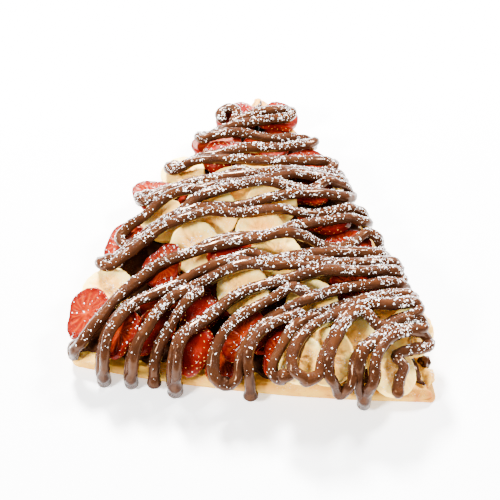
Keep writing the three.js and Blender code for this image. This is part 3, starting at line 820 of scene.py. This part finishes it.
def slice_piece(number, name, title, material, seed):
    """A fruit slice or half. Its rings follow the CAD node's own outline, by the shares that
    slice_profile gives; the cut faces are a little rough and dished, the skin a little uneven.
    Its masks are how far a point is on a cut face, its share of the outline, and the heart of a
    banana or the fibres of a berry."""
    middle, axes, fit, thickness, half = pose_of(name)
    rng = np.random.default_rng(seed)
    banana = name.startswith("banana")
    mean = fit[0]
    angle = np.arange(SLICE_POINTS) / SLICE_POINTS * TAU
    soft = BANANA_RIM if banana else STRAWBERRY_RIM
    scale, height = slice_profile(thickness, mean, soft, half, banana)
    s, a = np.meshgrid(scale, angle, indexing="ij")
    h = np.repeat(height[:, None], SLICE_POINTS, 1)
    r = s * fitted_radius(fit, angle)
    x, y = r * np.cos(a), r * np.sin(a)
    local = np.stack([x, y, (h - 0.5) * thickness], -1)
    phase = rng.uniform(0, 6)
    if banana:
        marks = banana_heart(s, a, phase)
        depth = BANANA_DISH
        dish = -depth * np.exp(-((s / 0.3) ** 2))
    else:
        marks = berry_fibres(s, a, phase)
        depth = STRAWBERRY_DISH
        dish = -depth * np.exp(-((y / (0.18 * mean)) ** 2)) * np.exp(-((x / (0.7 * mean)) ** 2))
    inside = 1 - smooth((s - 0.8) / 0.2)
    up_face = (h > 0.9) * inside
    down_face = (h < 0.1) * inside * (not half)
    rough = 0.16 * ripple(local[..., :2], 5, seed) + 0.1 * ripple(local[..., :2], 2.2, seed + 1)
    local[..., 2] += (rough + dish) * up_face - (rough + dish) * down_face
    skin_rough = 0.12 * ripple(local, 4, seed + 2) * (1 - up_face) * (1 - down_face)
    local[..., :2] *= (1 + skin_rough / np.maximum(r, 3))[..., None]
    tips = np.array([[0, 0, -0.5 * thickness], [0, 0, 0.5 * thickness - depth]])
    points = middle + np.concatenate([local.reshape(-1, 3), tips]) @ axes
    cut = np.where(h > 0.97, smooth((1.0 - s) / 0.03), np.where(down_face > 0, 1.0, 0.0))
    masks = np.stack([cut, s, marks], -1).reshape(-1, 3)
    masks = np.concatenate([masks, [[0.0 if half else 1.0, 0, 1], [1, 0, 1]]])
    faces = closed_faces(len(scale), SLICE_POINTS)
    build_piece(f"{title}_{number:02d}", points, faces, material, masks, [name])
    seeds = None if banana else skin_seeds(rng, middle, axes, fit, thickness, half)
    return points, faces, seeds


def skin_seeds(rng, middle, axes, fit, thickness, half):
    """Places and directions of the seeds on a berry's skin, in offset rows round it."""
    levels = [0.2, 0.42, 0.64, 0.85] if half else [0.35, 0.7]
    places, normals = [], []
    for row, level in enumerate(levels):
        shift = 0.5 * (row % 2) + rng.uniform(-0.15, 0.15, SEEDS_ROUND)
        around = (np.arange(SEEDS_ROUND) + shift) / SEEDS_ROUND * TAU
        scale = math.sqrt(1 - (1 - level) ** 2.8) if half else 1.0
        r = fitted_radius(fit, around) * scale
        height = np.full(SEEDS_ROUND, (level - 0.5) * thickness)
        local = np.stack([r * np.cos(around), r * np.sin(around), height], -1)
        tilt = np.full(SEEDS_ROUND, (level - 1) * 1.2 if half else level - 0.5)
        normal = unit(np.stack([np.cos(around), np.sin(around), tilt], -1))
        places.append(middle + local @ axes)
        normals.append(normal @ axes)
    return np.concatenate(places), np.concatenate(normals)


def fruit_pieces(heights):
    """Every slice and half. Gives their meshes with their shares of sugar, and the places and
    directions of the seeds on the berries' skins."""
    parts, seeds = [], []
    kinds = (("strawberry", "strawberry_piece", STRAWBERRY), ("banana", "banana_slice", BANANA))
    for kind, title, material in kinds:
        names = sorted(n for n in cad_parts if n.startswith(kind + "_"))
        for number, name in enumerate(names, 1):
            seed = 100 + number * 7 + len(kind)
            points, faces, found = slice_piece(number, name, title, material, seed)
            heights.add(points)
            parts.append((points, faces, SUGAR_SHARES[kind]))
            if found:
                seeds.append(found)
    places, normals = (np.concatenate(group) for group in zip(*seeds))
    return parts, places, normals


def scattered(places, normals, sizes, turns):
    """One small octahedron at each place: its first two axes lie in the surface, turned by
    `turns`, and its third along the normal, each as long as its size."""
    helper = np.where(np.abs(normals[:, 2:]) < 0.9, [[0, 0, 1.0]], [[1.0, 0, 0]])
    u = unit(np.cross(helper, normals))
    v = np.cross(normals, u)
    a = u * np.cos(turns)[:, None] + v * np.sin(turns)[:, None]
    b = -u * np.sin(turns)[:, None] + v * np.cos(turns)[:, None]
    axes = np.stack([a, b, normals], 1) * sizes[..., None]
    points = np.concatenate([places[:, None] + axes, places[:, None] - axes], 1)
    upper = [[0, 1, 2], [1, 3, 2], [3, 4, 2], [4, 0, 2]]
    lower = [[1, 0, 5], [3, 1, 5], [4, 3, 5], [0, 4, 5]]
    index = np.array(upper + lower)[None] + 6 * np.arange(len(places))[:, None, None]
    return points.reshape(-1, 3), [index.reshape(-1, 3)]


def seeds_piece(places, normals):
    """All the seeds as one piece, each a little octahedron that lies flat in the skin."""
    rng = np.random.default_rng(5)
    count = len(places)
    sizes = np.tile(SEED_SIZE, (count, 1)) * rng.uniform(0.85, 1.15, (count, 1))
    points, faces = scattered(places, normals, sizes, rng.uniform(0, TAU, count))
    build_piece("strawberry_seeds", points, faces, SEED, None, ())


# ---------------------------------------------------------------- heights seen from above


class Heights:
    """The height of everything laid so far, on a square grid of 0.8 mm cells."""

    CELL = 0.8
    HALF = 116.0
    COUNT = int(2 * HALF / CELL) + 1

    def __init__(self):
        """Starts with nothing laid."""
        self.grid = np.zeros((self.COUNT, self.COUNT))

    def add(self, points):
        """Raises each cell to the highest point in it."""
        i = np.round((points[:, 0] + self.HALF) / self.CELL).astype(int)
        j = np.round((points[:, 1] + self.HALF) / self.CELL).astype(int)
        np.maximum.at(self.grid, (j, i), points[:, 2])

    def spread(self, reach, ball=False):
        """The highest of the cells within `reach` of each one. For a ball, each is raised by
        sqrt(reach^2 - distance^2) first."""
        cells = int(reach / self.CELL)
        wide = np.pad(self.grid, cells)
        out = np.zeros_like(self.grid)
        for dj in range(-cells, cells + 1):
            for di in range(-cells, cells + 1):
                rest = reach**2 - (di**2 + dj**2) * self.CELL**2
                if rest < 0:
                    continue
                up = math.sqrt(rest) if ball else 0.0
                j, i = cells + dj, cells + di
                out = np.maximum(out, wide[j : j + self.COUNT, i : i + self.COUNT] + up)
        return out

    def fill_pinholes(self, reach=1.2, depth=3):
        """Lifts cells that no point fell in to their neighbours."""
        filled = self.spread(reach)
        self.grid = np.where(self.grid < filled - depth, filled, self.grid)

    def rolled(self, radius):
        """Where the centre of a ball goes that rolls over everything."""
        return self.spread(radius, ball=True)

    @classmethod
    def read(cls, grid, p):
        """Reads a grid at points, evenly between its cells."""
        u = (p[..., 0] + cls.HALF) / cls.CELL
        v = (p[..., 1] + cls.HALF) / cls.CELL
        i = np.clip(np.floor(u).astype(int), 0, cls.COUNT - 2)
        j = np.clip(np.floor(v).astype(int), 0, cls.COUNT - 2)
        a, b = u - i, v - j
        near = grid[j, i] * (1 - a) + grid[j, i + 1] * a
        far = grid[j + 1, i] * (1 - a) + grid[j + 1, i + 1] * a
        return near * (1 - b) + far * b


# ---------------------------------------------------------------- the drizzle


def lcg(seed):
    """A repeatable stream of numbers from 0 to 1."""
    state = seed
    while True:
        state = (state * 1664525 + 1013904223) % 2**32
        yield state / 2**32


def evenly(curve, count):
    """Points evenly spaced along a fine polyline."""
    steps = np.linalg.norm(np.diff(curve, axis=0), axis=1)
    along = np.concatenate([[0], np.cumsum(steps)])
    where = np.linspace(0, along[-1], count)
    return np.stack([np.interp(where, along, curve[:, k]) for k in range(curve.shape[1])], -1)


def parted(points):
    """Points moved aside, away from the middle line of every opening they are near, by half its
    width times (1 - u^2)^2 times (1 - |v|). Here u goes from -1 to 1 along the opening, and v
    across it as far as its width on either side."""
    for x, y, half_length, half_width, direction in OPENINGS:
        along = np.array([math.cos(math.radians(direction)), math.sin(math.radians(direction))])
        across = np.array([-along[1], along[0]])
        u = (points - [x, y]) @ along / half_length
        v = (points - [x, y]) @ across / (2 * half_width)
        near = (np.abs(u) < 1) & (np.abs(v) < 1)
        push = half_width * (1 - u**2) ** 2 * (1 - np.abs(v)) * np.where(v < 0, -1, 1)
        points = points + np.where(near, push, 0)[:, None] * across
    return points


def crossing(start_distance, end_distance):
    """One crossing from the left or front to the right: a cubic Bezier curve that sets off
    nearly square to the front fold, or at a slant from the left side, and bends over to the
    right. The slant grows with the square of the distance down the left side, and the direction
    it arrives in follows half a sine wave down the right side. Its points are evenly spaced
    before the openings part them."""
    past = start_distance - FRONT_START
    start = outline_point(start_distance, SIDE_RUN if past < 0 else FRONT_RUN)
    end = outline_point(AROUND - end_distance, SIDE_RUN)
    slant = LEFT_SLANT + LEFT_GAIN * (start_distance / FRONT_START) ** 2
    set_off = math.radians(slant if past < 0 else FRONT_SLANT + FRONT_GAIN * past)
    down = math.sin(math.pi * end_distance / SIDE_LENGTH)
    arrive = math.radians(RIGHT_SLANT + RIGHT_GAIN * down)
    reach = np.linalg.norm(end - start)
    one = start + np.array([math.cos(set_off), math.sin(set_off)]) * 0.36 * reach
    two = end - np.array([math.cos(arrive), math.sin(arrive)]) * 0.38 * reach
    t = np.linspace(0, 1, 300)[:, None]
    curve = (1 - t) ** 3 * start + 3 * t * (1 - t) ** 2 * one + 3 * t**2 * (1 - t) * two + t**3 * end
    return parted(evenly(curve, CROSSING_POINTS))


def turn_back(distance, half, reach, pointed):
    """The three points of a rounded turn: its outermost one, and its two shoulders, each further
    in by `pointed` times its distance from the first."""
    side = np.array([-0.8, 0, 0.8]) * half
    return list(outline_point(distance + side, reach - pointed * np.abs(side)))


def over_front(distance):
    """Whether a turn at this distance along the outline hangs over the front."""
    return distance > FRONT_START + CORNER_RUN


def drizzle_plan():
    """The long strand seen from above, as points to run a smooth curve through, and the numbers
    of those points where it turns back."""
    random = lcg(19)
    points = [np.array(p, float) for p in START_CURL]
    turns = []
    for k, (right, half_right) in enumerate(TURNS_RIGHT):
        before, half_before = TURNS_LEFT[k - 1] if k else (TURNS_LEFT[0][0] - START_BACK, 0)
        left, half_left = TURNS_LEFT[k]
        outward = crossing(before + half_before, right - half_right)
        points += list(outward if k else outward[START_SKIP:])
        turns.append(len(points) + 1)
        reach = SIDE_TURN + (next(random) - 0.5) * TURN_WOBBLE
        points += turn_back(AROUND - right, -half_right, reach, SIDE_POINTED)
        points += list(crossing(left - half_left, right + half_right)[::-1])
        turns.append(len(points) + 1)
        front = over_front(left)
        reach = FRONT_TURN if front else SIDE_TURN
        reach += (next(random) - 0.5) * TURN_WOBBLE
        points += turn_back(left, half_left, reach, FRONT_POINTED if front else SIDE_POINTED)
    return np.array(points), turns


def drip_plan(distance, towards, length):
    """A short strand from inside the drizzle down over the front: the start of a crossing, run
    backwards, and a point just past the outline."""
    line = crossing(distance, towards)
    count = max(2, round(length / float(np.linalg.norm(line[1] - line[0]))))
    return np.concatenate([line[count::-1], [outline_point(distance, FRONT_TURN)]])


def smooth_curve(points):
    """A centripetal Catmull-Rom curve through the points: between two of them a cubic with the
    tangents that steps of sqrt(distance) give, CURVE_STEPS steps long."""
    ends = [2 * points[0] - points[1], 2 * points[-1] - points[-2]]
    p = np.concatenate([[ends[0]], points, [ends[1]]])
    p0, p1, p2, p3 = p[:-3], p[1:-2], p[2:-1], p[3:]

    def root(a, b):
        """The square root of the distance between points."""
        return np.maximum(np.linalg.norm(b - a, axis=1, keepdims=True) ** 0.5, 1e-4)

    d0, d1, d2 = root(p0, p1), root(p1, p2), root(p2, p3)
    t1 = ((p1 - p0) / d0 - (p2 - p0) / (d0 + d1) + (p2 - p1) / d1) * d1
    t2 = ((p2 - p1) / d1 - (p3 - p1) / (d1 + d2) + (p3 - p2) / d2) * d1
    t = (np.arange(CURVE_STEPS) / CURVE_STEPS)[None, :, None]
    a, b, u, v = (q[:, None] for q in (p1, p2, t1, t2))
    curve = a + u * t + (3 * b - 3 * a - 2 * u - v) * t**2 + (2 * a - 2 * b + u + v) * t**3
    return np.concatenate([curve.reshape(-1, points.shape[1]), points[-1:]])


def lay_runs(runs, bed_grid):
    """Gives each run of rope its height: the bed that a ball feels, or ROPE_CLIMB of the way up
    rope that lies there already, where right on top is sqrt((2 radius)^2 - distance^2) over it.
    Then hollows are spanned by a moving highest and a moving mean, whose reach shrinks to
    nothing at the turns. The four points at each end of a run belong to a turn, so the next run
    doesn't climb them."""
    laid, out = [], []
    for run in runs:
        length = np.linalg.norm(np.diff(run, axis=0), axis=1).sum()
        flat = evenly(run, max(8, int(math.ceil(length / ROPE_STEP))) + 1)
        bed = Heights.read(bed_grid, flat)
        z = bed.copy()
        if laid:
            other = np.concatenate(laid)
            near = np.linalg.norm(flat[:, None] - other[None, :, :2], axis=2)
            rest = np.sqrt(np.clip((2 * ROPE_RADIUS) ** 2 - near**2, 0, None))
            climb = np.where(near < 2 * ROPE_RADIUS, other[None, :, 2] + ROPE_CLIMB * rest, 0).max(1)
            z = np.maximum(z, np.minimum(climb, bed + 2 * ROPE_RADIUS))
        n = len(z)
        from_end = np.minimum(np.arange(n), n - 1 - np.arange(n))
        reach = np.minimum(from_end, round(BRIDGE / ROPE_STEP))
        high = np.array([z[i - r : i + r + 1].max() for i, r in enumerate(reach)])
        mean = np.array([high[i - r : i + r + 1].mean() for i, r in enumerate(reach)])
        run = np.column_stack([flat, np.maximum(mean, bed)])
        laid.append(run[4:-4])
        length = np.linalg.norm(np.diff(run, axis=0), axis=1).sum()
        out.append(evenly(run, int(math.ceil(length / ROPE_RING)) + 1))
    return out


def rope_rings(path, radius, seed):
    """The rings of a piped rope: round, a little flat, with fine ridges that twist slowly along
    it and fade out where it is much thicker or thinner. `radius` is given along the path."""
    tangent = unit(np.gradient(path, axis=0))
    across = unit(np.stack([tangent[:, 1], -tangent[:, 0], np.zeros(len(path))], -1))
    up = np.cross(across, tangent)
    along = np.arange(len(path)) * ROPE_RING
    angle = np.arange(ROPE_POINTS) / ROPE_POINTS * TAU
    twist = 0.8 * ripple(along[:, None], 90, seed)
    even = np.exp(-(((radius / ROPE_RADIUS - 1) / 0.15) ** 2))
    ridge = 1 + 0.06 * even[:, None] * np.cos(ROPE_RIDGES * (angle[None] + twist[:, None]))
    waver = 1 + 0.02 * ripple(np.stack([along, along], -1), 11, seed + 1)
    body = radius[:, None] * ridge * waver[:, None]
    aside = (np.cos(angle)[None] * body * 1.04)[..., None] * across[:, None]
    upward = (np.sin(angle)[None] * body * 0.98)[..., None] * up[:, None]
    return path[:, None] + aside + upward


def joined(parts):
    """Several bodies' points and faces as one."""
    points, faces, first = [], [], 0
    for p, f in parts:
        points.append(p)
        faces += [q + first for q in f]
        first += len(p)
    return np.concatenate(points), faces


def rope(path, bulges, seed):
    """A rope along a path with rounded ends, thicker at the numbered points, where it ends in a
    drop over the front."""
    index = np.arange(len(path))
    radius = ROPE_RADIUS * (1 + 0.05 * ripple(index[:, None] * ROPE_RING, 45, seed))
    for stop in bulges:
        radius *= 1 + BULB * np.exp(-(((index - stop) * ROPE_RING / BULB_LENGTH) ** 2))
    for end in (0, len(path) - 1):
        radius *= np.sqrt(np.clip((np.abs(index - end) * ROPE_RING + 0.2) / ROPE_RADIUS, 0, 1))
    rings = rope_rings(path, radius, seed + 10)
    points = np.concatenate([rings.reshape(-1, 3), path[:1], path[-1:]])
    return points, [f[:, ::-1] for f in closed_faces(len(rings), ROPE_POINTS)]


def drizzle_piece(heights):
    """The drizzle: one long rope laid run by run, then the drips."""
    plan, turns = drizzle_plan()
    curve = smooth_curve(plan)
    stops = [0, *turns]
    runs = [curve[a * CURVE_STEPS : b * CURVE_STEPS + 1] for a, b in zip(stops[:-1], stops[1:])]
    drips = [smooth_curve(drip_plan(*drip)) for drip in DRIPS]
    bed_grid = heights.rolled(ROPE_RADIUS + 0.1)
    laid = lay_runs(runs + drips, bed_grid)
    strand, drops = laid[: len(runs)], laid[len(runs) :]
    path = np.concatenate([strand[0]] + [run[1:] for run in strand[1:]])
    where = np.cumsum([len(run) - 1 for run in strand])
    bulges = [stop for stop, (left, _) in zip(where[1::2], TURNS_LEFT) if over_front(left)]
    ropes = [rope(path, bulges, 21)]
    ropes += [rope(drop, [len(drop) - 4], 40 + k) for k, drop in enumerate(drops)]
    points, faces = joined(ropes)
    points[:, 2] = np.maximum(points[:, 2], 0.1)
    build_piece("chocolate_drizzle", points, faces, CHOCOLATE, None, ["spread"])
    return points, faces


# ---------------------------------------------------------------- the curl and the drop


def lump_piece(name, middle, radii, turn, material, seed):
    """A small uneven lump: an ellipsoid turned about the vertical, with dents."""
    count, rings = 40, 18
    rise = (np.arange(rings) + 1) / (rings + 1) * math.pi - math.pi / 2
    a, e = np.meshgrid(np.arange(count) / count * TAU, rise)
    ball = np.stack([np.cos(e) * np.cos(a), np.cos(e) * np.sin(a), np.sin(e)], -1)
    tips = np.array([[0, 0, -1.0], [0, 0, 1.0]])
    ball = np.concatenate([ball.reshape(-1, 3), tips])
    dents = 0.09 * ripple(ball, 1.1, seed) + 0.03 * ripple(ball, 0.4, seed + 1)
    body = ball * radii * (1 + dents)[:, None]
    c, s = math.cos(turn), math.sin(turn)
    points = body @ np.array([[c, s, 0], [-s, c, 0], [0, 0, 1]]) + middle
    faces = closed_faces(rings, count)
    build_piece(name, points, faces, material, np.zeros((len(points), 3)), ())
    return points, faces


def corner_extras():
    """What lies beside the fruit at the right corner: a sugared curl of crêpe and a drop of
    chocolate."""
    curl = lump_piece("crepe_curl", (92.3, -79.5, 5.4), (5.2, 3.6, 4.4), 1.1, CREPE, 51)
    drop = lump_piece(
        "chocolate_drop", (90.5, -71.5, 8.6), (3.2, 3.9, 3.2), 0.4, CHOCOLATE, 61
    )
    return curl, drop


# ---------------------------------------------------------------- sugar


def sugar_piece(parts, heights):
    """Grains on whatever can be seen from above. Four-sided faces are drawn by area, by how far
    they face up, by their piece's share and by a patchy density that is thin along the front and
    at the left corner. Each gets a grain at a random point: an octahedron, of a size drawn from
    a log-normal spread."""
    rng = np.random.default_rng(77)
    top = heights.spread(0.9)
    corners, strength = [], []
    for points, faces, share in parts:
        for f in faces:
            if f.shape[1] == 4:
                corners.append(points[f])
                strength.append(np.full(len(f), share))
    corners = np.concatenate(corners)
    strength = np.concatenate(strength)
    a, b, c, d = (corners[:, k] for k in range(4))
    cross = np.cross(c - a, d - b)
    area = np.linalg.norm(cross, axis=1) / 2
    normal = unit(cross)
    middle = corners.mean(1)
    seen = middle[:, 2] > Heights.read(top, middle) - 1.4
    patchy = smooth(0.55 + 0.5 * ripple(middle[:, :2], 16, 41) + 0.35 * ripple(middle[:, :2], 5, 42))
    front = smooth((middle[:, 1] + 98) / 30)
    lower_left = smooth((middle[:, 0] + middle[:, 1] * 0.2 + 105) / 45)
    weight = area * smooth(normal[:, 2] / 0.6) * seen * strength
    weight *= (0.12 + patchy) * (0.12 + 0.88 * front) * (0.3 + 0.7 * lower_left)
    pick = rng.choice(len(weight), SUGAR_GRAINS, p=weight / weight.sum())
    u, v = rng.random((2, SUGAR_GRAINS, 1))
    near = (1 - u) * a[pick] + u * b[pick]
    far = (1 - u) * d[pick] + u * c[pick]
    place = (1 - v) * near + v * far
    size = np.exp(rng.normal(GRAIN_LOG_MIDDLE, GRAIN_LOG_SPREAD, (SUGAR_GRAINS, 1)))
    shape = rng.uniform(0.45, 1.3, (SUGAR_GRAINS, 3)) * GRAIN_SHAPE
    sizes = np.clip(size * shape, *GRAIN_LIMITS)
    points, faces = scattered(place, normal[pick], sizes, rng.uniform(0, TAU, SUGAR_GRAINS))
    build_piece("powdered_sugar", points, faces, SUGAR, None, ())


# ---------------------------------------------------------------- the whole

heights = Heights()
heights.add(crepe_piece())
coat_points, coat_faces = base_coat_piece()
heights.add(coat_points)

fruit_parts, seed_places, seed_normals = fruit_pieces(heights)
heights.fill_pinholes()
seeds_piece(seed_places, seed_normals)

drizzle_points, drizzle_faces = drizzle_piece(heights)
heights.add(drizzle_points)

(curl_points, curl_faces), (drop_points, drop_faces) = corner_extras()
heights.add(curl_points)
heights.add(drop_points)

sugared = [
    (curl_points, curl_faces, SUGAR_SHARES["curl"]),
    (drop_points, drop_faces, SUGAR_SHARES["drop"]),
    (drizzle_points, drizzle_faces, SUGAR_SHARES["drizzle"]),
    (coat_points, coat_faces, SUGAR_SHARES["coat"]),
    *fruit_parts,
]
sugar_piece(sugared, heights)

# ---------------------------------------------------------------- studio

# In metres: half the width of the floor, and the point that the lights shine at.
FLOOR_HALF = 1.6
LIGHT_AIM = (0, -0.01, 0.01)

# The camera: how far it is turned to the right of the front and raised, and its distance from
# the point it looks at.
CAMERA_TURN = math.radians(6)
CAMERA_RISE = math.radians(55)
CAMERA_DISTANCE = 0.648
CAMERA_TARGET = (-0.0063, -0.0120, 0.010)


def floor_piece():
    """A plain pale floor."""
    half = FLOOR_HALF
    corners = [(-half, -half, 0), (half, -half, 0), (half, half, 0), (-half, half, 0)]
    mesh = bpy.data.meshes.new("floor")
    mesh.from_pydata(corners, [], [(0, 1, 2, 3)])
    material, _, _ = new_material(
        "pale_floor",
        Roughness=0.9,
        Base_Color=colour(252, 252, 252),
        Emission_Color=colour(255, 255, 255),
        Emission_Strength=0.8,
    )
    mesh.materials.append(material)
    floor = bpy.data.objects.new("floor", mesh)
    bpy.context.scene.collection.objects.link(floor)


def soft_light(name, place, size, power):
    """A square soft light that points at the crêpe."""
    data = bpy.data.lights.new(name, "AREA")
    data.size = size
    data.energy = power
    light = bpy.data.objects.new(name, data)
    light.location = place
    direction = Vector(LIGHT_AIM) - light.location
    light.rotation_euler = direction.to_track_quat("-Z", "Y").to_euler()
    bpy.context.scene.collection.objects.link(light)


def white_surroundings():
    """Even white light from all round."""
    world = bpy.data.worlds.new("studio")
    world.use_nodes = True
    background = world.node_tree.nodes["Background"]
    background.inputs["Color"].default_value = (1, 1, 1, 1)
    background.inputs["Strength"].default_value = 0.7
    bpy.context.scene.world = world


def make_camera():
    """A camera at the viewing angle, level, aimed at the middle of the crêpe."""
    data = bpy.data.cameras.new("camera")
    data.lens = 85
    data.sensor_width = 36
    data.clip_start = 0.01
    camera = bpy.data.objects.new("camera", data)
    level = math.cos(CAMERA_RISE)
    along_x, along_y = math.sin(CAMERA_TURN) * level, -math.cos(CAMERA_TURN) * level
    back = Vector((along_x, along_y, math.sin(CAMERA_RISE)))
    camera.location = Vector(CAMERA_TARGET) + back * CAMERA_DISTANCE
    camera.rotation_euler = (-back).to_track_quat("-Z", "Y").to_euler()
    bpy.context.scene.collection.objects.link(camera)
    bpy.context.scene.camera = camera


floor_piece()
soft_light("back_left", (-0.35, 0.8, 0.8), 0.2, 165)
soft_light("back_right", (0.6, 0.5, 0.7), 0.2, 56)
soft_light("front_left", (-0.75, -0.7, 0.9), 0.25, 66)
white_surroundings()
make_camera()
bpy.context.view_layer.update()
